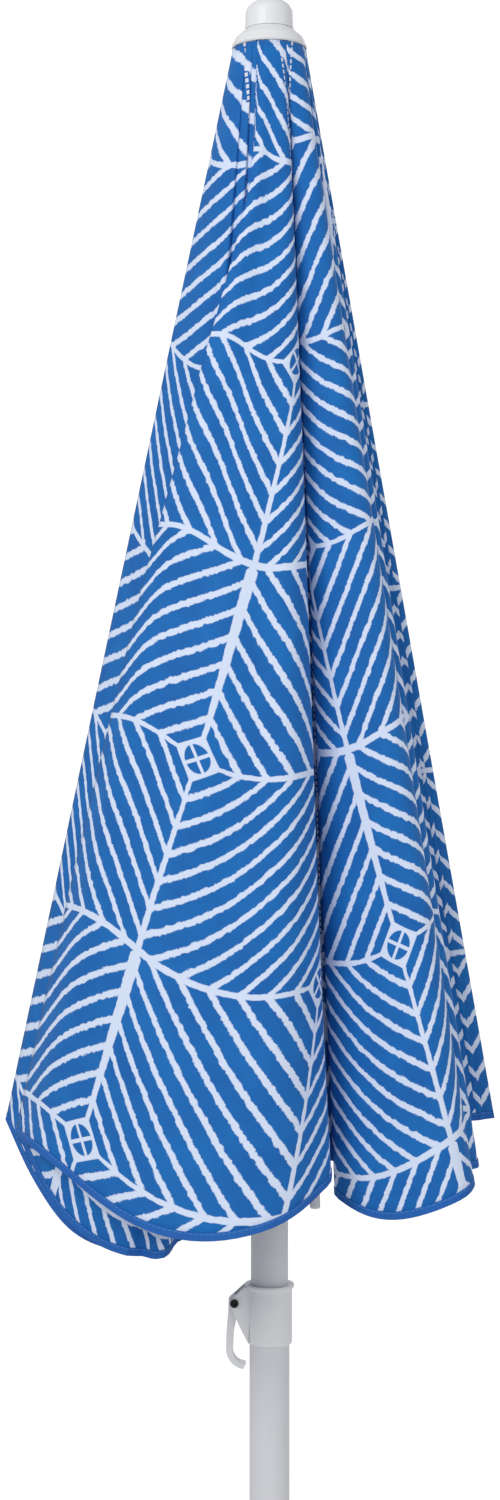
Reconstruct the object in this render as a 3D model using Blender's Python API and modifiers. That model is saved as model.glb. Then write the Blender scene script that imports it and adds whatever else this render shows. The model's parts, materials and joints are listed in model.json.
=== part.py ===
"""A closed beach umbrella: telescoping pole with a lever clamp, eight ribs and struts, runner and canopy.

Metres, +Z up. The origin is the centre of the foot plug's flat end, on the pole's axis.
-Y is the front. Every rib, strut and canopy half-panel is its own object.
"""

import math

import bmesh
import bpy
from mathutils import Matrix, Vector

# ---- driving dimensions -------------------------------------------------------------------
RIBS = 8
RIB_LENGTH = 0.915          # hinge to tip
STRUT_REACH = 0.420         # hinge to strut pin along the rib; the strut is equally long
CLOSED_ANGLE = math.radians(3.5)
FIRST_RIB_AZIMUTH = math.radians(26.0)   # from the front, towards +X
PIVOT_RADIUS = 0.0235       # hinge circle of the crown and of the runner
CROWN_HEIGHT = 2.003        # height of the rib hinges

LOWER_RADIUS, LOWER_WALL, LOWER_TOP = 0.0162, 0.0009, 0.985
UPPER_RADIUS, UPPER_WALL = 0.0151, 0.0012
UPPER_BOTTOM, UPPER_TOP = 0.660, 2.030
FIT_GAP = 0.0003

COLLAR_BOTTOM, COLLAR_TOP, COLLAR_RADIUS = 0.960, 1.008, 0.0183
PIN_X, PIN_Z = -0.0285, 0.9935
PIN_RADIUS = 0.0022

CROWN_RADIUS, CROWN_HALF_HEIGHT = 0.0290, 0.0070
SLOT_WIDTH, SLOT_INNER_RADIUS = 0.0044, 0.0186
WIRE_RADIUS = 0.0008
RIB_WIDTH, RIB_DEPTH = 0.0030, 0.0050
STRUT_WIDTH, STRUT_OFFSET = 0.0022, 0.0032

FABRIC_THICKNESS = 0.0010
FLANGE_THICKNESS = 0.0130
FABRIC_TOP_RADIUS, FABRIC_TOP_HEIGHT = 0.0295, 1.995
VALLEY_RADIUS, VALLEY_HEM_HEIGHT = 0.0890, 1.105     # over a rib
FOLD_RADIUS, FOLD_HEM_HEIGHT = 0.2050, 1.110         # at the middle of a panel
PANEL_STEPS, PANEL_GAP, PANEL_FULLNESS = 3, 0.0024, 0.7

WHITE = (0.86, 0.86, 0.88)
TUBE_WHITE = (0.80, 0.80, 0.82)
BLUE = (0.02, 0.17, 0.55)
BLACK = (0.03, 0.03, 0.03)


# ---- helpers ------------------------------------------------------------------------------
def clear_scene():
    for obj in list(bpy.data.objects):
        bpy.data.objects.remove(obj)


def material(name, colour, roughness, metallic=0.0):
    found = bpy.data.materials.get(name)
    if found:
        return found
    made = bpy.data.materials.new(name)
    made.use_nodes = True
    shader = made.node_tree.nodes["Principled BSDF"]
    shader.inputs["Base Color"].default_value = (*colour, 1)
    shader.inputs["Roughness"].default_value = roughness
    shader.inputs["Metallic"].default_value = metallic
    return made


def collection(name, hidden=False):
    made = bpy.data.collections.new(name)
    bpy.context.scene.collection.children.link(made)
    made.hide_render = hidden
    return made


def add_object(name, mesh, where, finish=None):
    obj = bpy.data.objects.new(name, mesh)
    where.objects.link(obj)
    if finish:
        mesh.materials.append(finish)
    return obj


def smooth(obj, angle=35):
    obj.data.shade_smooth()
    obj.data.set_sharp_from_angle(angle=math.radians(angle))


def from_bmesh(name, bm, where, finish=None):
    bmesh.ops.recalc_face_normals(bm, faces=bm.faces)
    mesh = bpy.data.meshes.new(name)
    bm.to_mesh(mesh)
    bm.free()
    return add_object(name, mesh, where, finish)


def turned(name, profile, where, finish, steps=40):
    """A closed (radius, height) outline turned about Z."""
    bm = bmesh.new()
    ring = [bm.verts.new((r, 0, z)) for r, z in profile]
    for a, b in zip(ring, ring[1:] + ring[:1]):
        if a.co.x > 1e-6 or b.co.x > 1e-6:
            bm.edges.new((a, b))
    bmesh.ops.spin(bm, geom=bm.verts[:] + bm.edges[:], axis=(0, 0, 1), cent=(0, 0, 0),
                   steps=steps, angle=2 * math.pi, use_merge=True)
    bmesh.ops.remove_doubles(bm, verts=bm.verts, dist=1e-5)
    obj = from_bmesh(name, bm, where, finish)
    smooth(obj)
    return obj


def box_bm(size, centre=(0, 0, 0)):
    bm = bmesh.new()
    bmesh.ops.create_cube(bm, size=1)
    bmesh.ops.scale(bm, vec=size, verts=bm.verts)
    bmesh.ops.translate(bm, vec=centre, verts=bm.verts)
    return bm


def cylinder_bm(radius, length, axis="Z", centre=(0, 0, 0), sides=12):
    bm = bmesh.new()
    bmesh.ops.create_cone(bm, cap_ends=True, segments=sides, radius1=radius, radius2=radius,
                          depth=length)
    turn = {"X": Matrix.Rotation(math.pi / 2, 3, "Y"), "Y": Matrix.Rotation(math.pi / 2, 3, "X"),
            "Z": Matrix.Identity(3)}[axis]
    bmesh.ops.rotate(bm, verts=bm.verts, cent=(0, 0, 0), matrix=turn)
    bmesh.ops.translate(bm, vec=centre, verts=bm.verts)
    return bm


def boolean(obj, other, operation="DIFFERENCE"):
    step = obj.modifiers.new(operation.lower(), "BOOLEAN")
    step.object = other
    step.operation = operation
    return step


def cutter(name, bm, matrix=None):
    obj = from_bmesh(name, bm, cutters)
    obj.hide_render = True
    obj.display_type = "WIRE"
    if matrix:
        obj.matrix_world = matrix
    return obj


def bevel(obj, width, segments=2):
    step = obj.modifiers.new("bevel", "BEVEL")
    step.width = width
    step.segments = segments
    step.limit_method = "ANGLE"


def outline(name, points, half_width, where, finish):
    """A closed outline in the XZ plane, thickened along Y."""
    bm = bmesh.new()
    sides = []
    for y in (-half_width, half_width):
        sides.append([bm.verts.new((x, y, z)) for x, z in points])
    bm.faces.new(sides[0])
    bm.faces.new(list(reversed(sides[1])))
    for i in range(len(points)):
        j = (i + 1) % len(points)
        bm.faces.new((sides[0][i], sides[0][j], sides[1][j], sides[1][i]))
    return from_bmesh(name, bm, where, finish)


def arc(centre, radius, start, end, steps):
    """Points in the XZ plane on an arc, angles in degrees from +X."""
    return [(centre[0] + radius * math.cos(math.radians(start + (end - start) * i / steps)),
             centre[1] + radius * math.sin(math.radians(start + (end - start) * i / steps)))
            for i in range(steps + 1)]


def polar(azimuth, radius, z):
    """A point from its azimuth (0 in front, growing towards +X), radius and height."""
    return Vector((radius * math.sin(azimuth), -radius * math.cos(azimuth), z))


def rib_azimuth(index):
    return FIRST_RIB_AZIMUTH + 2 * math.pi * index / RIBS


def rib_frame(azimuth, height):
    """Axes at a hinge: X radial outwards, Y along the hinge, Z up."""
    radial = polar(azimuth, 1, 0)
    along = Vector((0, 0, 1)).cross(radial)
    turn = Matrix((radial, along, Vector((0, 0, 1)))).transposed().to_4x4()
    return Matrix.Translation(polar(azimuth, PIVOT_RADIUS, height)) @ turn


# ---- pole and clamp -----------------------------------------------------------------------
def tube(name, outer, wall, bottom, top, finish):
    inner = outer - wall
    return turned(name, [(outer, top), (outer, bottom), (inner, bottom), (inner, top)], parts, finish)


def foot_plug():
    stem = LOWER_RADIUS - LOWER_WALL - FIT_GAP
    rim = LOWER_RADIUS + 0.0014
    profile = [(0, 0.030), (stem, 0.030), (stem, 0.0123), (rim, 0.0123), (rim, 0.002),
               (rim - 0.002, 0), (0, 0)]
    return turned("foot_plug", profile, parts, plastic)


def pole_end_bush():
    """Spacer ring on the upper tube's lower end, which keeps it centred in the lower tube."""
    inner = UPPER_RADIUS - UPPER_WALL - FIT_GAP
    outer = LOWER_RADIUS - LOWER_WALL - 0.0001
    top, seat = UPPER_BOTTOM + 0.020, UPPER_BOTTOM - FIT_GAP
    profile = [(inner, top), (inner - 0.0015, top), (inner - 0.0015, seat - 0.008),
               (outer, seat - 0.008), (outer, seat), (inner, seat)]
    return turned("pole_end_bush", profile, parts, plastic, 32)


def clamp_collar():
    """Sleeve on the lower tube, with a raised lip, two ears for the pin and a cam window."""
    bore = LOWER_RADIUS + FIT_GAP
    lip = COLLAR_RADIUS + 0.0014
    neck = UPPER_RADIUS + FIT_GAP
    seat = LOWER_TOP + FIT_GAP
    profile = [(lip, COLLAR_TOP), (lip + 0.0004, COLLAR_TOP - 0.0015), (lip, COLLAR_TOP - 0.003),
               (COLLAR_RADIUS, COLLAR_TOP - 0.0038), (COLLAR_RADIUS, COLLAR_BOTTOM + 0.001),
               (COLLAR_RADIUS - 0.0006, COLLAR_BOTTOM), (bore, COLLAR_BOTTOM), (bore, seat),
               (neck, seat), (neck, COLLAR_TOP)]
    obj = turned("clamp_collar", profile, parts, plastic, 48)
    ear = [(-0.0150, 1.0065), (-0.0205, 1.0060), (-0.0300, 0.9975), *arc((PIN_X, PIN_Z), 0.0040, 150, 230, 4),
           (-0.0250, 0.9760), (-0.0190, 0.9640), (-0.0170, 0.9620)]
    for side in (-1, 1):
        plate = outline(f"ear_{side}", ear, 0.0013, cutters, plastic)
        plate.location.y = side * 0.0072
        plate.hide_render = True
        boolean(obj, plate, "UNION")
    clear_bore = cutter("collar_bore", cylinder_bm(bore, 0.060, sides=48, centre=(0, 0, seat - 0.030)))
    boolean(obj, clear_bore)
    clear_neck = cutter("collar_neck", cylinder_bm(neck, 0.060, sides=48, centre=(0, 0, seat + 0.0299)))
    boolean(obj, clear_neck)
    window = cutter("cam_window", box_bm((0.012, 0.0114, 0.0165), (-0.0190, 0, PIN_Z + 0.0015)))
    boolean(obj, window)
    hole = cutter("ear_hole", cylinder_bm(PIN_RADIUS + 0.0002, 0.03, "Y", (PIN_X, 0, PIN_Z)))
    boolean(obj, hole)
    return obj


def clamp_pin():
    """Socket-headed screw across the ears."""
    obj = from_bmesh("clamp_pin", cylinder_bm(PIN_RADIUS, 0.0180, "Y", (PIN_X, 0, PIN_Z)), parts, black)
    head = cutter("pin_head", cylinder_bm(0.0034, 0.0020, "Y", (PIN_X, -0.0098, PIN_Z)))
    boolean(obj, head, "UNION")
    socket = cutter("pin_socket", cylinder_bm(0.0016, 0.0030, "Y", (PIN_X, -0.0110, PIN_Z), 6))
    boolean(obj, socket)
    smooth(obj)
    return obj


def clamp_lever():
    """Flip lever: a cam round the pin and an arm that hangs down and hooks in under the collar."""
    eye = arc((PIN_X, PIN_Z), 0.0048, -40, 165, 8)
    outside = [(-0.0335, 0.985), (-0.0350, 0.966), *arc((-0.0190, 0.9555), 0.0162, 180, 262, 7)]
    inside = [(-0.0190, 0.9440), *arc((-0.0190, 0.9545), 0.0105, 240, 180, 5), (-0.0288, 0.970),
              (-0.0262, 0.984)]
    obj = outline("clamp_lever", eye + outside + inside, 0.0054, parts, plastic)
    hole = cutter("lever_hole", cylinder_bm(PIN_RADIUS + 0.0002, 0.03, "Y", (PIN_X, 0, PIN_Z)))
    boolean(obj, hole)
    bevel(obj, 0.0006, 1)
    smooth(obj)
    return obj


# ---- crown, cap and runner ----------------------------------------------------------------
def slotted_ring(name, z, offset_slots, bottom, top):
    """Ring on the upper tube with a slot and a wire groove for every rib or strut."""
    bore = UPPER_RADIUS + FIT_GAP
    profile = [(CROWN_RADIUS, top), (CROWN_RADIUS, z - CROWN_HALF_HEIGHT),
               (0.0192, z - CROWN_HALF_HEIGHT - 0.003), (0.0192, bottom), (bore, bottom), (bore, top)]
    obj = turned(name, profile, parts, plastic, 48)
    for i in range(RIBS):
        slot = cutter(f"{name}_slot_{i + 1}",
                      box_bm((0.020, SLOT_WIDTH, 0.060), (SLOT_INNER_RADIUS - PIVOT_RADIUS + 0.010, offset_slots, 0)),
                      rib_frame(rib_azimuth(i), z))
        boolean(obj, slot)
    bpy.ops.mesh.primitive_torus_add(major_radius=PIVOT_RADIUS, minor_radius=WIRE_RADIUS + 0.0004,
                                     major_segments=48, minor_segments=6, location=(0, 0, z))
    groove = bpy.context.object
    groove.name = f"{name}_groove"
    groove.hide_render = True
    groove.display_type = "WIRE"
    boolean(obj, groove)
    return obj


def wire_ring(name, z):
    bpy.ops.mesh.primitive_torus_add(major_radius=PIVOT_RADIUS, minor_radius=WIRE_RADIUS,
                                     major_segments=64, minor_segments=6, location=(0, 0, z))
    ring = bpy.context.object
    ring.name = name
    ring.data.materials.append(steel)
    for owner in list(ring.users_collection):
        owner.objects.unlink(ring)
    parts.objects.link(ring)
    return ring


def canopy_flange():
    """Bell-shaped washer that covers the canopy's top hem."""
    z = CROWN_HEIGHT + CROWN_HALF_HEIGHT
    top = z + FLANGE_THICKNESS
    profile = [(0.0196, top), (0.0225, z + 0.0105), (0.0275, z + 0.0060), (0.0302, z + 0.0005),
               (0.0308, z - 0.0012), (0.0300, z - 0.0025), (0.0294, z - 0.0015), (0.0293, z + FIT_GAP),
               (0.0155, z + FIT_GAP), (0.0155, top)]
    return turned("canopy_flange", profile, parts, plastic, 48)


def finial_cap():
    """Domed cap over the tube's upper end."""
    base = CROWN_HEIGHT + CROWN_HALF_HEIGHT + FLANGE_THICKNESS + FIT_GAP
    outer, inner = 0.0194, UPPER_RADIUS + FIT_GAP
    shoulder, crest = 2.0360, 2.0485
    dome = [(outer * math.cos(t), shoulder + (crest - shoulder) * math.sin(t))
            for t in (math.radians(12 * k) for k in range(1, 7))]
    profile = [(0, crest), *reversed(dome), (outer, shoulder), (outer + 0.0004, base), (inner, base),
               (inner, UPPER_TOP + FIT_GAP), (0, UPPER_TOP + FIT_GAP)]
    return turned("finial_cap", profile, parts, plastic, 40)


# ---- ribs and struts ----------------------------------------------------------------------
def lean(angle):
    """Turns a piece that hangs down -Z outwards by angle, about the hinge's Y."""
    return Matrix.Rotation(-angle, 4, "Y")


def rib(index):
    """Flat rib with a hinge eye, and a rivet for the strut."""
    bm = box_bm((RIB_DEPTH, RIB_WIDTH, RIB_LENGTH + 0.003), (0, 0, -RIB_LENGTH / 2 + 0.0015))
    obj = from_bmesh(f"rib_{index + 1}", bm, parts, steel_white)
    matrix = rib_frame(rib_azimuth(index), CROWN_HEIGHT) @ lean(CLOSED_ANGLE)
    rivet = cutter(f"rivet_{index + 1}", cylinder_bm(0.0012, 0.0050, "Y", (0, 0.0030, -STRUT_REACH), 8), matrix)
    boolean(obj, rivet, "UNION")
    eye = cutter(f"rib_eye_{index + 1}", cylinder_bm(WIRE_RADIUS + 0.0006, 0.01, "Y", sides=8), matrix)
    boolean(obj, eye)
    obj.matrix_world = matrix
    return obj


def rib_tip(index):
    """Moulded cap pushed over the rib's end, which the canopy's corner is sewn to."""
    bm = box_bm((0.0084, 0.0062, 0.024), (0, 0, -RIB_LENGTH + 0.004))
    obj = from_bmesh(f"rib_tip_{index + 1}", bm, parts, plastic)
    bevel(obj, 0.0012, 1)
    matrix = rib_frame(rib_azimuth(index), CROWN_HEIGHT) @ lean(CLOSED_ANGLE)
    pocket = cutter(f"tip_pocket_{index + 1}",
                    box_bm((RIB_DEPTH + 0.0006, RIB_WIDTH + 0.0006, 0.030), (0, 0, -RIB_LENGTH + 0.0147)), matrix)
    boolean(obj, pocket)
    obj.matrix_world = matrix
    return obj


def strut(index):
    """Equal-length link from the rib's rivet to the runner's wire ring."""
    reach = STRUT_REACH
    bm = box_bm((0.0046, STRUT_WIDTH, reach + 0.0064), (0, STRUT_OFFSET, -reach / 2))
    obj = from_bmesh(f"strut_{index + 1}", bm, parts, steel_white)
    top = rib_frame(rib_azimuth(index), CROWN_HEIGHT) @ lean(CLOSED_ANGLE) @ Matrix.Translation((0, 0, -reach))
    matrix = top @ lean(-2 * CLOSED_ANGLE)
    for z, radius in ((0, 0.0015), (-reach, WIRE_RADIUS + 0.0007)):
        hole = cutter(f"strut_hole_{index + 1}_{abs(z):.2f}", cylinder_bm(radius, 0.012, "Y", (0, STRUT_OFFSET, z), 8), matrix)
        boolean(obj, hole)
    obj.matrix_world = matrix
    return obj


# ---- canopy -------------------------------------------------------------------------------
def half_panel(panel, side):
    """Cone strip from the crown to the hem, from a rib (side -1 the left one) out to the panel's fold."""
    rib_az = rib_azimuth(panel - 1 if side < 0 else panel)
    fold_az = rib_az - side * math.pi / RIBS
    bm = bmesh.new()
    rows = []
    for k in range(PANEL_STEPS + 1):
        share = k / PANEL_STEPS
        azimuth = rib_az + (fold_az - rib_az) * share
        inset = -side * (PANEL_GAP / 2) * ((k == 0) - (k == PANEL_STEPS))
        radius = VALLEY_RADIUS + (FOLD_RADIUS - VALLEY_RADIUS) * share ** PANEL_FULLNESS
        hem = VALLEY_HEM_HEIGHT + (FOLD_HEM_HEIGHT - VALLEY_HEM_HEIGHT) * share
        top = polar(azimuth + inset / FABRIC_TOP_RADIUS, FABRIC_TOP_RADIUS, FABRIC_TOP_HEIGHT)
        bottom = polar(azimuth + inset / radius, radius, hem)
        rows.append((bm.verts.new(top), bm.verts.new(bottom)))
    for a, b in zip(rows, rows[1:]):
        bm.faces.new((a[0], a[1], b[1], b[0]))
    name = f"canopy_{panel + 1}_{'left' if side < 0 else 'right'}"
    obj = from_bmesh(name, bm, parts, fabric)
    thick = obj.modifiers.new("thickness", "SOLIDIFY")
    thick.thickness = FABRIC_THICKNESS
    thick.offset = 0
    return obj


# ---- assembly -----------------------------------------------------------------------------
clear_scene()
parts = collection("beach_umbrella")
cutters = collection("cutters", hidden=True)
plastic = material("white_plastic", WHITE, 0.45)
tube_paint = material("white_paint", TUBE_WHITE, 0.35)
steel_white = material("coated_steel", WHITE, 0.4)
steel = material("steel", (0.6, 0.6, 0.62), 0.3, 1.0)
black = material("black_oxide", BLACK, 0.4, 0.8)
fabric = material("fabric", BLUE, 0.8)

RUNNER_HEIGHT = CROWN_HEIGHT - 2 * STRUT_REACH * math.cos(CLOSED_ANGLE)

tube("lower_pole", LOWER_RADIUS, LOWER_WALL, 0.0126, LOWER_TOP, tube_paint)
tube("upper_pole", UPPER_RADIUS, UPPER_WALL, UPPER_BOTTOM, UPPER_TOP, tube_paint)
foot_plug()
pole_end_bush()
clamp_collar()
clamp_pin()
clamp_lever()
slotted_ring("crown_hub", CROWN_HEIGHT, 0, CROWN_HEIGHT - 0.020, CROWN_HEIGHT + CROWN_HALF_HEIGHT)
slotted_ring("runner", RUNNER_HEIGHT, STRUT_OFFSET, RUNNER_HEIGHT - 0.055, RUNNER_HEIGHT + CROWN_HALF_HEIGHT)
wire_ring("crown_wire_ring", CROWN_HEIGHT)
wire_ring("runner_wire_ring", RUNNER_HEIGHT)
canopy_flange()
finial_cap()
for n in range(RIBS):
    rib(n)
    rib_tip(n)
    strut(n)
    half_panel(n, -1)
    half_panel(n, 1)
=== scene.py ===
"""Looks of the closed beach umbrella: draped printed canopy, moulded plastic, coated steel, studio light."""
import json
import math

import bpy
import numpy as np
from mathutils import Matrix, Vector


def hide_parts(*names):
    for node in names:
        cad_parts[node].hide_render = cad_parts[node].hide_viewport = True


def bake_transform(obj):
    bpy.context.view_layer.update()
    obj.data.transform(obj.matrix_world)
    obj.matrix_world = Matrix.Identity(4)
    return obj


# ---- driving values, metres and degrees ------------------------------------------------------
RIBS = 8
PANEL_ANGLE = 360 / RIBS
ACROSS, ALONG = 44, 84              # cloth grid of a half-panel, rib to fold and top to hem
TOP_RADIUS, TOP_HEIGHT = 0.0302, 2.0068
HALF_WIDTH, PANEL_LENGTH = 0.345, 0.920
HALF_ANGLE = math.atan(HALF_WIDTH / PANEL_LENGTH)
FLAT_TOP, FLAT_LENGTH = 0.045, 0.885
CLOTH = 0.0006
BIND_WIDTH, BIND_THICKNESS = 0.0062, 0.0016
LAYER_STEP = 0.0006                 # between layers of cloth under the flange
# the closed canopy: over a rib the cloth sinks to VALLEY_RADIUS, and each panel's fold stands out
VALLEY_RADIUS, VALLEY_HEM = 0.0890, 1.122
FOLD_AZIMUTH = [-80, 60, 94, 139, 184, 228, 250, -91]
FOLD_RADIUS = [0.206, 0.1125, 0.184, 0.184, 0.184, 0.184, 0.184, 0.214]
FOLD_HEM = [1.134, 1.100, 1.140, 1.118, 1.118, 1.118, 1.130, 1.140]

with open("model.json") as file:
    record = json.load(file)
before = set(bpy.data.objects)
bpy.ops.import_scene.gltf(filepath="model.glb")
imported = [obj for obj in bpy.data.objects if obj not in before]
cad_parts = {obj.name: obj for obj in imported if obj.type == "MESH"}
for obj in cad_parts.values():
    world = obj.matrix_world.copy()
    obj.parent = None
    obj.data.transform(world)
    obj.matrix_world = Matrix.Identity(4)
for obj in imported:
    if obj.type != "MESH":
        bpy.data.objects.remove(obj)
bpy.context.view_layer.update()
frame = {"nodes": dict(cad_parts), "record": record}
record = frame["record"]
joints = {j["name"]: j for j in record["behaviour"]["joints"]}
pivot_x, pivot_y, _ = joints["canopy_open"]["pos_m"]
FIRST_RIB = math.degrees(math.atan2(pivot_x, -pivot_y))


def polar(azimuth, radius, z):
    """Point at an azimuth in degrees from the front, positive towards +X."""
    a = math.radians(azimuth)
    return Vector((radius * math.sin(a), -radius * math.cos(a), z))


# ---- node helpers ----------------------------------------------------------------------------
class Nodes:
    """Short way to write a node tree as arithmetic."""

    def __init__(self, name):
        self.material = bpy.data.materials.new(name)
        self.material.use_nodes = True
        self.tree = self.material.node_tree
        self.shader = self.tree.nodes["Principled BSDF"]

    def add(self, kind, **values):
        node = self.tree.nodes.new(kind)
        for key, value in values.items():
            setattr(node, key, value)
        return node

    def join(self, source, socket):
        if hasattr(source, "links"):
            self.tree.links.new(source, socket)
        else:
            socket.default_value = source

    def math(self, operation, a, b=0.0, c=0.0):
        node = self.add("ShaderNodeMath", operation=operation)
        for source, socket in zip((a, b, c), node.inputs):
            self.join(source, socket)
        return node.outputs[0]

    def noise(self, vector, scale, detail=3.0, rough=0.55):
        node = self.add("ShaderNodeTexNoise")
        self.join(vector, node.inputs["Vector"])
        node.inputs["Scale"].default_value = scale
        node.inputs["Detail"].default_value = detail
        node.inputs["Roughness"].default_value = rough
        return node.outputs["Fac"]

    def mix(self, factor, a, b):
        node = self.add("ShaderNodeMix", data_type="RGBA")
        self.join(factor, node.inputs["Factor"])
        self.join(a, node.inputs["A"])
        self.join(b, node.inputs["B"])
        return node.outputs["Result"]

    def step(self, value, edge, soft):
        """0 below edge and 1 above it, over a width of soft."""
        node = self.add("ShaderNodeMapRange", interpolation_type="SMOOTHSTEP")
        self.join(value, node.inputs["Value"])
        self.join(self.math("SUBTRACT", edge, soft / 2), node.inputs["From Min"])
        self.join(self.math("ADD", edge, soft / 2), node.inputs["From Max"])
        return node.outputs["Result"]

    def bump(self, height, strength, distance):
        node = self.add("ShaderNodeBump")
        node.inputs["Strength"].default_value = strength
        node.inputs["Distance"].default_value = distance
        self.join(height, node.inputs["Height"])
        self.join(node.outputs["Normal"], self.shader.inputs["Normal"])

    def set(self, **values):
        for key, value in values.items():
            self.join(value, self.shader.inputs[key.replace("_", " ")])


def rgb(r, g, b):
    """Linear colour of an 8-bit screen colour."""
    return (*(((c / 255 + 0.055) / 1.055) ** 2.4 if c > 10 else c / 3294 for c in (r, g, b)), 1)


BLUE, DEEP_BLUE = rgb(6, 118, 196), rgb(3, 84, 164)
WHITE_INK = rgb(216, 228, 250)
BINDING_BLUE = rgb(6, 104, 192)


THREAD = 0.00055


def weave(n, uv):
    """Height of a plain weave."""
    split = n.add("ShaderNodeSeparateXYZ")
    n.join(uv, split.inputs[0])
    pitch = math.pi / THREAD
    a = n.math("SINE", n.math("MULTIPLY", split.outputs[0], pitch))
    b = n.math("SINE", n.math("MULTIPLY", split.outputs[1], pitch))
    return n.math("MULTIPLY", a, b)


PRINT_GRID = 0.1515                 # between neighbouring centres of the print
SEAM_INSET, STITCH_PITCH = 0.0065, 0.0048
RINGS = 7                           # stripes from one centre to the next


def print_cloth(name, offset_u, offset_v):
    """Blue and white lattice of concentric diamonds with spines and quartered discs."""
    n = Nodes(name)
    grid = PRINT_GRID
    uv = n.add("ShaderNodeUVMap", uv_map="flat").outputs[0]
    split = n.add("ShaderNodeSeparateXYZ")
    n.join(uv, split.inputs[0])
    brush = n.noise(uv, 190.0, 4.0, 0.65)
    wander = n.noise(uv, 45.0, 2.0)
    rough = n.math("MULTIPLY", n.math("SUBTRACT", wander, 0.5), 0.0013)
    u = n.math("ADD", n.math("SUBTRACT", split.outputs[0], offset_u), rough)
    v = n.math("SUBTRACT", n.math("SUBTRACT", split.outputs[1], offset_v), rough)
    p = n.math("DIVIDE", n.math("ADD", u, v), 2 * grid)
    q = n.math("DIVIDE", n.math("SUBTRACT", u, v), 2 * grid)
    p = n.math("SUBTRACT", p, n.math("ROUND", p))
    q = n.math("SUBTRACT", q, n.math("ROUND", q))
    cu = n.math("MULTIPLY", n.math("ADD", p, q), grid)
    cv = n.math("MULTIPLY", n.math("SUBTRACT", p, q), grid)
    au, av = n.math("ABSOLUTE", cu), n.math("ABSOLUTE", cv)
    ring = n.math("ADD", au, av)
    phase = n.math("FRACT", n.math("DIVIDE", ring, grid / RINGS))
    swing = n.math("MULTIPLY", n.math("SUBTRACT", brush, 0.5), 0.30)
    from_middle = n.math("ADD", n.math("ABSOLUTE", n.math("SUBTRACT", phase, 0.5)), swing)
    stripes = n.math("SUBTRACT", 1.0, n.step(from_middle, 0.140, 0.06))
    # spines widen away from each centre, and the one that points up stays thin
    thick = n.math("ADD", 0.0014, n.math("MULTIPLY", ring, 0.022))
    thick = n.math("ADD", thick, n.math("MULTIPLY", n.math("SUBTRACT", brush, 0.5), 0.002))
    up = n.step(cv, 0.0, 0.002)
    thin = n.math("SUBTRACT", thick, n.math("MULTIPLY", n.math("MULTIPLY", ring, 0.015), up))
    spine_v = n.math("SUBTRACT", 1.0, n.step(n.math("SUBTRACT", au, thin), 0.0, 0.0008))
    level = n.math("SUBTRACT", thick, n.math("MULTIPLY", ring, 0.013))
    spine_u = n.math("SUBTRACT", 1.0, n.step(n.math("SUBTRACT", av, level), 0.0, 0.0008))
    white = n.math("MAXIMUM", stripes, n.math("MAXIMUM", spine_u, spine_v))
    # centre: a white square with a quartered disc
    square = n.math("SUBTRACT", 1.0, n.step(ring, 0.0185, 0.001))
    white = n.math("MAXIMUM", white, square)
    radius = n.math("SQRT", n.math("ADD", n.math("MULTIPLY", cu, cu), n.math("MULTIPLY", cv, cv)))
    disc = n.math("SUBTRACT", 1.0, n.step(radius, 0.0102, 0.0008))
    cross = n.step(n.math("ABSOLUTE", n.math("SUBTRACT", au, av)), 0.0018, 0.0008)
    white = n.math("SUBTRACT", white, n.math("MULTIPLY", disc, cross))
    white = n.math("MAXIMUM", white, 0.0)
    dye = n.mix(n.noise(uv, 26.0, 3.0), DEEP_BLUE, BLUE)
    colour = n.mix(white, dye, WHITE_INK)
    # stitches of the seam along the rib
    edge = n.add("ShaderNodeUVMap", uv_map="seam").outputs[0]
    seam = n.add("ShaderNodeSeparateXYZ")
    n.join(edge, seam.inputs[0])
    aside = n.math("ABSOLUTE", n.math("SUBTRACT", seam.outputs[0], SEAM_INSET))
    line = n.math("SUBTRACT", 1.0, n.step(aside, 0.0006, 0.0004))
    dash = n.step(n.math("FRACT", n.math("DIVIDE", seam.outputs[1], STITCH_PITCH)), 0.34, 0.08)
    stitch = n.math("MULTIPLY", line, dash)
    colour = n.mix(n.math("MULTIPLY", stitch, 0.85), colour, rgb(235, 236, 244))
    n.set(Base_Color=colour, Roughness=n.math("ADD", 0.62, n.math("MULTIPLY", brush, 0.14)),
          Sheen_Weight=0.05, Sheen_Roughness=0.5)
    n.shader.inputs["Specular IOR Level"].default_value = 0.30
    crumple = n.math("MULTIPLY", n.noise(uv, 14.0, 4.0), 1.6)
    height = n.math("ADD", n.math("MULTIPLY", weave(n, uv), 0.30),
                    n.math("ADD", n.math("MULTIPLY", stitch, 2.0), crumple))
    n.bump(height, 0.35, 0.0006)
    return n.material


def binding_cloth():
    """Solid blue tape with one row of stitches."""
    n = Nodes("binding_cloth")
    uv = n.add("ShaderNodeUVMap", uv_map="flat").outputs[0]
    split = n.add("ShaderNodeSeparateXYZ")
    n.join(uv, split.inputs[0])
    dash = n.step(n.math("FRACT", n.math("DIVIDE", split.outputs[0], 0.0040)), 0.30, 0.10)
    line = n.math("SUBTRACT", 1.0, n.step(n.math("ABSOLUTE", n.math("SUBTRACT", split.outputs[1], 0.0012)),
                                          0.0004, 0.0003))
    stitch = n.math("MULTIPLY", dash, line)
    tone = n.mix(n.noise(uv, 60.0, 3.0), DEEP_BLUE, BINDING_BLUE)
    n.set(Base_Color=n.mix(n.math("MULTIPLY", stitch, 0.5), tone, rgb(80, 150, 225)), Roughness=0.70)
    n.bump(n.math("ADD", n.math("MULTIPLY", weave(n, uv), 0.4), n.math("MULTIPLY", stitch, -2.0)), 0.5, 0.0005)
    return n.material


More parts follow.
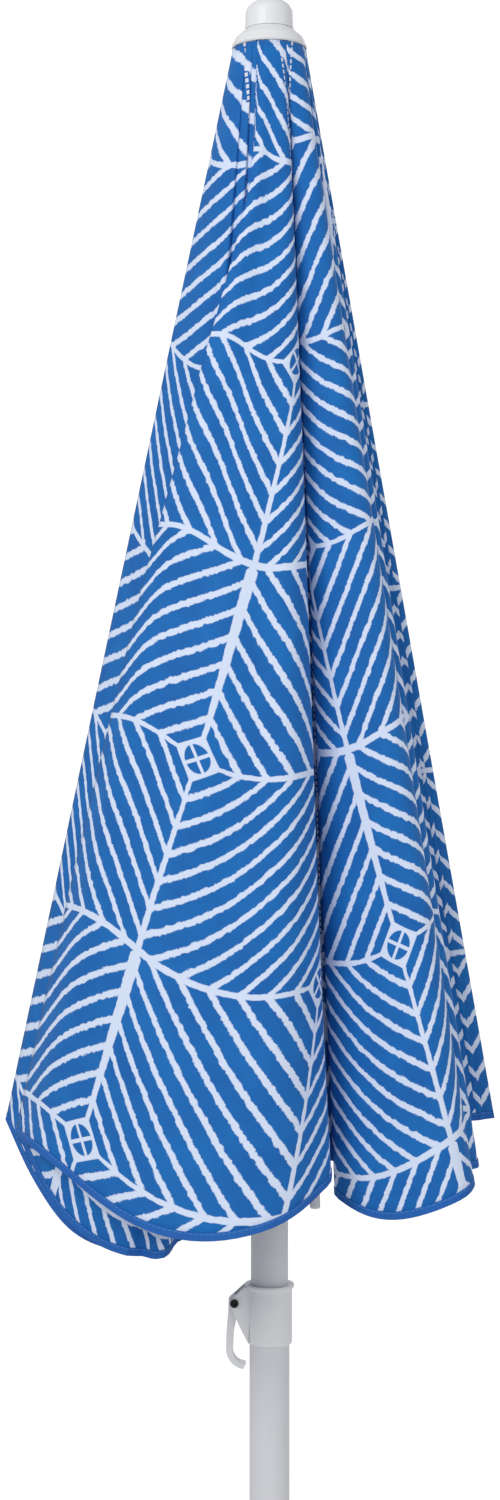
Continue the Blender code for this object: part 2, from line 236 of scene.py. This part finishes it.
def hard_surface(name, colour, roughness, metallic=0.0, grain=900.0, stretch=(1, 1, 1), depth=0.3):
    """Moulded, painted or drawn surface with fine grain, slight mottling and scuffs."""
    n = Nodes(name)
    place = n.add("ShaderNodeTexCoord").outputs["Object"]
    mapped = n.add("ShaderNodeMapping")
    n.join(place, mapped.inputs["Vector"])
    mapped.inputs["Scale"].default_value = stretch
    place = mapped.outputs[0]
    fine = n.noise(place, grain, 3.0)
    broad = n.noise(place, 22.0, 4.0)
    scuff = n.step(n.noise(place, 75.0, 8.0, 0.7), 0.66, 0.10)
    darker = (*(c * 0.90 for c in colour[:3]), 1)
    tone = n.mix(broad, darker, colour)
    worn = (*(c * 0.80 for c in colour[:3]), 1)
    n.set(Base_Color=n.mix(n.math("MULTIPLY", scuff, 0.35), tone, worn), Metallic=metallic,
          Roughness=n.math("ADD", roughness - 0.05, n.math("MULTIPLY", broad, 0.12)))
    n.bump(n.math("ADD", fine, n.math("MULTIPLY", broad, 0.6)), depth, 0.0003)
    return n.material


plastic = hard_surface("moulded_plastic", rgb(233, 234, 236), 0.42, grain=1600.0, depth=0.20)
paint = hard_surface("pole_powder_coat", rgb(219, 220, 224), 0.36, grain=2200.0, depth=0.25)
coated = hard_surface("coated_steel", rgb(228, 229, 232), 0.45, grain=1200.0, stretch=(1, 1, 0.1))
wire = hard_surface("drawn_wire", rgb(165, 167, 172), 0.34, 1.0, 3000.0, (1, 1, 0.2))
black = hard_surface("black_oxide", rgb(36, 36, 39), 0.45, 0.6, 1500.0)
FINISH = {"white_plastic": plastic, "tube_paint": paint, "coated_steel": coated, "wire_steel": wire,
          "black_screw": black}

for part in record["subparts"]:
    finish = FINISH.get(part["material_slot"])
    if finish:
        mesh = frame["nodes"][part["node"]].data
        mesh.materials.clear()
        mesh.materials.append(finish)

# ---- canopy ------------------------------------------------------------------------------------
# lattice offset of each panel's cut: place of one diamond centre on the flat panel
PRINT_OFFSET = [(0.088, 0.592), (-0.130, 0.725), (0.060, 0.640), (-0.030, 0.560),
                (0.110, 0.700), (0.020, 0.610), (-0.090, 0.660), (0.080, 0.590)]
cloths = [print_cloth(f"print_cloth_{k + 1}", *PRINT_OFFSET[k]) for k in range(RIBS)]
binding = binding_cloth()

# Hem lines in plan, from the rib's valley to the fold, as (azimuth, radius). Panel 1 wraps over
# the front and panel 8's fold shows beyond it; the others fold out between two ribs.
WRAPPED = {
    (0, 1): [(26, 0.089), (17, 0.138), (-1, 0.177), (-30, 0.190), (-60, 0.200), (-80, 0.206)],
    (0, -1): [(-19, 0.089), (-25, 0.128), (-42, 0.163), (-60, 0.184), (-80, 0.2035)],
    (7, 1): [(-19, 0.089), (-27, 0.116), (-42, 0.146), (-60, 0.170), (-78, 0.190), (-91, 0.214)],
    (7, -1): [(-64, 0.089), (-74, 0.104), (-84, 0.140), (-91, 0.2120)],
    (6, 1): [(-64, 0.089), (-82, 0.095), (-100, 0.130), (-110, 0.184)],
    (6, -1): [(-109, 0.089), (-112, 0.120), (-112, 0.150), (-110.5, 0.1825)],
    (1, -1): [(26, 0.089), (29, 0.112), (35, 0.148), (42, 0.184), (48, 0.198), (55, 0.190), (60, 0.168),
              (61, 0.140), (60, 0.112)],
    (1, 1): [(71, 0.089), (75, 0.118), (73, 0.148), (68, 0.150), (66, 0.124), (60, 0.113)],
}
# Gathers take up the cloth that a short hem line leaves over, up to GATHER_LIMIT high.
GATHERED_WIDTH, GATHER_PITCH, GATHER_LIMIT, GATHER_STEP = 0.280, 0.034, 0.050, 0.0005
# Share of the hem, from the rib, after which the cloth lies smooth because it shows.
SMOOTH_FROM = {(1, -1): 0.08, (2, -1): 0.58, (0, -1): 0.45, (7, 1): 0.45}
# How far a hem hangs below the line from valley to fold: depth, where it peaks, and sharpness.
HEM_DIP = {(0, 1): (0.048, 1.12, 1.8), (1, -1): (0.034, 1.4, 1.6), (0, -1): (0.072, 1, 1),
           (7, 1): (0.072, 1, 1)}
OUTER_LAYER = ((0, 1), (1, -1))
HEM_SAMPLES = 400

# Panel 1's fold starts near the front under the flange and drifts round to the side further down.
DRIFT_HEIGHTS, DRIFT = [0, 0.14, 0.30, 0.50, 0.75, 1], [0, 0.12, 0.43, 0.69, 0.87, 1]
FOLD_TOP_AZIMUTH = -9


def drifted(rib, azimuth, t):
    """Azimuth of a point of panel 1 whose hem end lies at azimuth, t of the way down."""
    share = float(np.interp(t, DRIFT_HEIGHTS, DRIFT))
    fold = FOLD_TOP_AZIMUTH + (FOLD_AZIMUTH[0] - FOLD_TOP_AZIMUTH) * share
    return rib + (azimuth - rib) * (fold - rib) / (FOLD_AZIMUTH[0] - rib)


def spline(points, s):
    """Catmull-Rom through points, at s from 0 to 1."""
    pts = [np.array(p, float) for p in points]
    pts = [2 * pts[0] - pts[1], *pts, 2 * pts[-1] - pts[-2]]
    x = min(s, 0.999999) * (len(pts) - 3)
    i = int(x)
    f = x - i
    a, b, c, d = pts[i:i + 4]
    square, cube = 2 * a - 5 * b + 4 * c - d, 3 * b - a - 3 * c + d
    return 0.5 * (2 * b + (c - a) * f + square * f * f + cube * f ** 3)


def run_lengths(points):
    """Length along a line of points, at each point."""
    return np.concatenate([[0], np.cumsum(np.linalg.norm(np.diff(points, axis=0), axis=1))])


def hem_line(panel, side):
    """Hem points (x, y) from rib to fold, evenly spaced, with a gathered ripple where cloth is hidden."""
    rib = FIRST_RIB + PANEL_ANGLE * (panel if side > 0 else panel - 1)
    fold = FOLD_AZIMUTH[panel]
    points = WRAPPED.get((panel, side))
    if points is None:
        rib_near = rib + 360 * round((fold - rib) / 360)
        lean = fold - rib_near
        points = [(rib_near, VALLEY_RADIUS), (rib_near + 0.55 * lean, 0.104), (rib_near + 0.84 * lean, 0.130),
                  (rib_near + 0.95 * lean, 0.158), (fold, FOLD_RADIUS[panel])]
    plan = [polar(a, r, 0) for a, r in points]
    dense = np.array([spline([(p.x, p.y) for p in plan], k / HEM_SAMPLES) for k in range(HEM_SAMPLES + 1)])
    length = run_lengths(dense)
    share = length / length[-1]
    tangent = np.gradient(dense, axis=0)
    tangent /= np.linalg.norm(tangent, axis=1)[:, None]
    normal = np.stack([-tangent[:, 1], tangent[:, 0]], axis=1)
    waves = max(2, round(length[-1] / GATHER_PITCH))
    smooth_from = SMOOTH_FROM.get((panel, side), 0.92)
    fade = np.sin(np.pi * np.clip(share / smooth_from, 0, 1)) ** 0.8
    wave = normal * (np.sin(2 * np.pi * waves * share) * fade)[:, None]
    base, height = dense, 0.0
    while length[-1] < GATHERED_WIDTH and height < GATHER_LIMIT:
        height += GATHER_STEP
        dense = base + wave * height
        length = run_lengths(dense)
    even = np.linspace(0, length[-1], ACROSS + 1)
    return np.stack([np.interp(even, length, dense[:, k]) for k in (0, 1)], axis=1), length[-1]


def soft_folds(s, t):
    """How far panel 1's front stands out: broad and narrow waves, and a flute by the valley at the hem."""
    sag = math.sin(math.pi * t) * math.sin(math.pi * s)
    broad = 0.0050 * math.sin(7.0 * s + 2.2 * t)
    narrow = 0.0038 * math.sin(17.0 * s - 3.0 * t) * t
    flute = 0.10 * math.exp(-((s - 0.10) / 0.06) ** 2) * max(0, t - 0.72) ** 2
    return (broad + narrow) * sag + flute


def half_panel(panel, side):
    """Cloth from the rib's valley to the panel's fold: straight lines from under the flange to the hem."""
    name = f"cloth_{panel + 1}_{'right' if side > 0 else 'left'}"
    hem, width = hem_line(panel, side)
    dip, spread, sharpness = HEM_DIP.get((panel, side), (0, 1, 1))
    outer = TOP_RADIUS if (panel, side) in OUTER_LAYER else TOP_RADIUS - LAYER_STEP
    rib = FIRST_RIB if side > 0 else FIRST_RIB - PANEL_ANGLE
    rows = []
    for j in range(ALONG + 1):
        t = j / ALONG
        row = []
        for i in range(ACROSS + 1):
            s = i / ACROSS
            x, y = hem[i]
            radius = math.hypot(x, y)
            top = Vector((x / radius * outer, y / radius * outer, TOP_HEIGHT))
            low = VALLEY_HEM + (FOLD_HEM[panel] - VALLEY_HEM) * s ** 1.5
            low -= dip * max(0, math.sin(math.pi * min(1, s * spread))) ** sharpness
            point = top.lerp(Vector((x, y, low)), t)
            if panel == 0:
                azimuth = drifted(rib, math.degrees(math.atan2(x, -y)), t)
                point = polar(azimuth, outer + (radius - outer) * t, point.z)
            if (panel, side) == (0, 1):
                point += Vector((point.x, point.y, 0)).normalized() * soft_folds(s, t)
            row.append(point)
        rows.append(row)
    mesh = bpy.data.meshes.new(name)
    wide = ACROSS + 1
    faces = [(j * wide + i, j * wide + i + 1, (j + 1) * wide + i + 1, (j + 1) * wide + i)
             for j in range(ALONG) for i in range(ACROSS)]
    mesh.from_pydata([p for row in rows for p in row], [], faces)
    flat, seam = mesh.uv_layers.new(name="flat"), mesh.uv_layers.new(name="seam")
    for loop in mesh.loops:
        j, i = divmod(loop.vertex_index, wide)
        reach = FLAT_TOP + FLAT_LENGTH * j / ALONG
        angle = HALF_ANGLE * (1 - i / ACROSS) * side
        flat.data[loop.index].uv = (reach * math.sin(angle), reach * math.cos(angle))
        seam.data[loop.index].uv = (reach * HALF_ANGLE * i / ACROSS, reach)
    mesh.materials.append(cloths[panel])
    for polygon in mesh.polygons:
        polygon.use_smooth = True
    obj = bpy.data.objects.new(name, mesh)
    bpy.context.scene.collection.objects.link(obj)
    thick = obj.modifiers.new("thickness", "SOLIDIFY")
    thick.thickness = CLOTH
    thick.offset = 0
    return obj, rows, width


def hem_binding(name, rows, width):
    """Folded tape over the hem: both faces of the cloth and round its edge."""
    last, before = rows[-1], rows[-4]
    loop = [(-1, 0.0), (-1, 1.02), (1, 1.02), (1, 0.0)]
    verts, faces = [], []
    count = len(last)
    for i in range(count):
        down = (last[i] - before[i]).normalized()
        along = (last[min(i + 1, count - 1)] - last[max(i - 1, 0)]).normalized()
        normal = along.cross(down).normalized()
        start = last[i] - down * BIND_WIDTH
        for face, reach in loop:
            verts.append(start + down * (BIND_WIDTH * reach) + normal * (face * BIND_THICKNESS / 2))
    for i in range(count - 1):
        for k in range(4):
            a, b = i * 4 + k, i * 4 + (k + 1) % 4
            faces.append((a, b, b + 4, a + 4))
    faces += [(3, 2, 1, 0), tuple((count - 1) * 4 + k for k in range(4))]
    mesh = bpy.data.meshes.new(name)
    mesh.from_pydata(verts, [], faces)
    flat = mesh.uv_layers.new(name="flat")
    for loop_item in mesh.loops:
        i, k = divmod(loop_item.vertex_index, 4)
        flat.data[loop_item.index].uv = (width * i / count, BIND_WIDTH * loop[k][1])
    mesh.materials.append(binding)
    obj = bpy.data.objects.new(name, mesh)
    bpy.context.scene.collection.objects.link(obj)
    soften = obj.modifiers.new("soft_edge", "BEVEL")
    soften.width = 0.0004
    soften.segments = 2
    return obj


for panel in range(RIBS):
    for side in (-1, 1):
        word = "right" if side > 0 else "left"
        cloth, rows, width = half_panel(panel, side)
        tape = hem_binding(f"hem_{panel + 1}_{word}", rows, width)
        for piece in (cloth, tape):
            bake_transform(piece)
        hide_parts(f"canopy_{panel + 1}_{word}")

# ---- studio ------------------------------------------------------------------------------------
floor_mesh = bpy.data.meshes.new("studio_floor")
floor_mesh.from_pydata([polar(a * 5, 2.3, -0.001) for a in range(72)], [], [tuple(reversed(range(72)))])
floor = bpy.data.objects.new("studio_floor", floor_mesh)
bpy.context.scene.collection.objects.link(floor)
floor_mesh.materials.append(hard_surface("floor_paper", rgb(243, 243, 243), 0.85, grain=300.0))

world = bpy.data.worlds.new("studio_world")
bpy.context.scene.world = world
world.use_nodes = True
tree = world.node_tree
soft = tree.nodes["Background"]
soft.inputs["Color"].default_value = (0.97, 0.98, 1.0, 1)
soft.inputs["Strength"].default_value = 0.50
paper = tree.nodes.new("ShaderNodeBackground")
paper.inputs["Color"].default_value = (1, 1, 1, 1)
paper.inputs["Strength"].default_value = 1.1
seen = tree.nodes.new("ShaderNodeLightPath")
pick = tree.nodes.new("ShaderNodeMixShader")
tree.links.new(seen.outputs["Is Camera Ray"], pick.inputs[0])
tree.links.new(soft.outputs[0], pick.inputs[1])
tree.links.new(paper.outputs[0], pick.inputs[2])
tree.links.new(pick.outputs[0], tree.nodes["World Output"].inputs["Surface"])
bpy.context.scene.view_settings.view_transform = "Standard"


def area_light(name, place, aim, size, power):
    """Softbox at place, turned towards aim."""
    data = bpy.data.lights.new(name, "AREA")
    data.shape = "RECTANGLE"
    data.size, data.size_y = size
    data.energy = power
    lamp = bpy.data.objects.new(name, data)
    bpy.context.scene.collection.objects.link(lamp)
    lamp.location = place
    lamp.rotation_euler = (Vector(aim) - Vector(place)).to_track_quat("-Z", "Y").to_euler()


area_light("key", (-1.6, -2.2, 2.9), (0, 0, 1.5), (1.2, 1.6), 46)
area_light("fill", (2.2, -1.6, 1.6), (0, 0, 1.4), (1.4, 1.8), 13)
area_light("rim", (0.6, 2.2, 2.6), (0, 0, 1.5), (1.4, 1.0), 16)

camera = bpy.data.objects.new("camera", bpy.data.cameras.new("camera"))
bpy.context.scene.collection.objects.link(camera)
camera.data.lens = 58.25
camera.data.sensor_width = 36
camera.location = (-0.0158, -1.967, 1.44)
camera.rotation_euler = (math.pi / 2, 0, 0)
bpy.context.scene.camera = camera
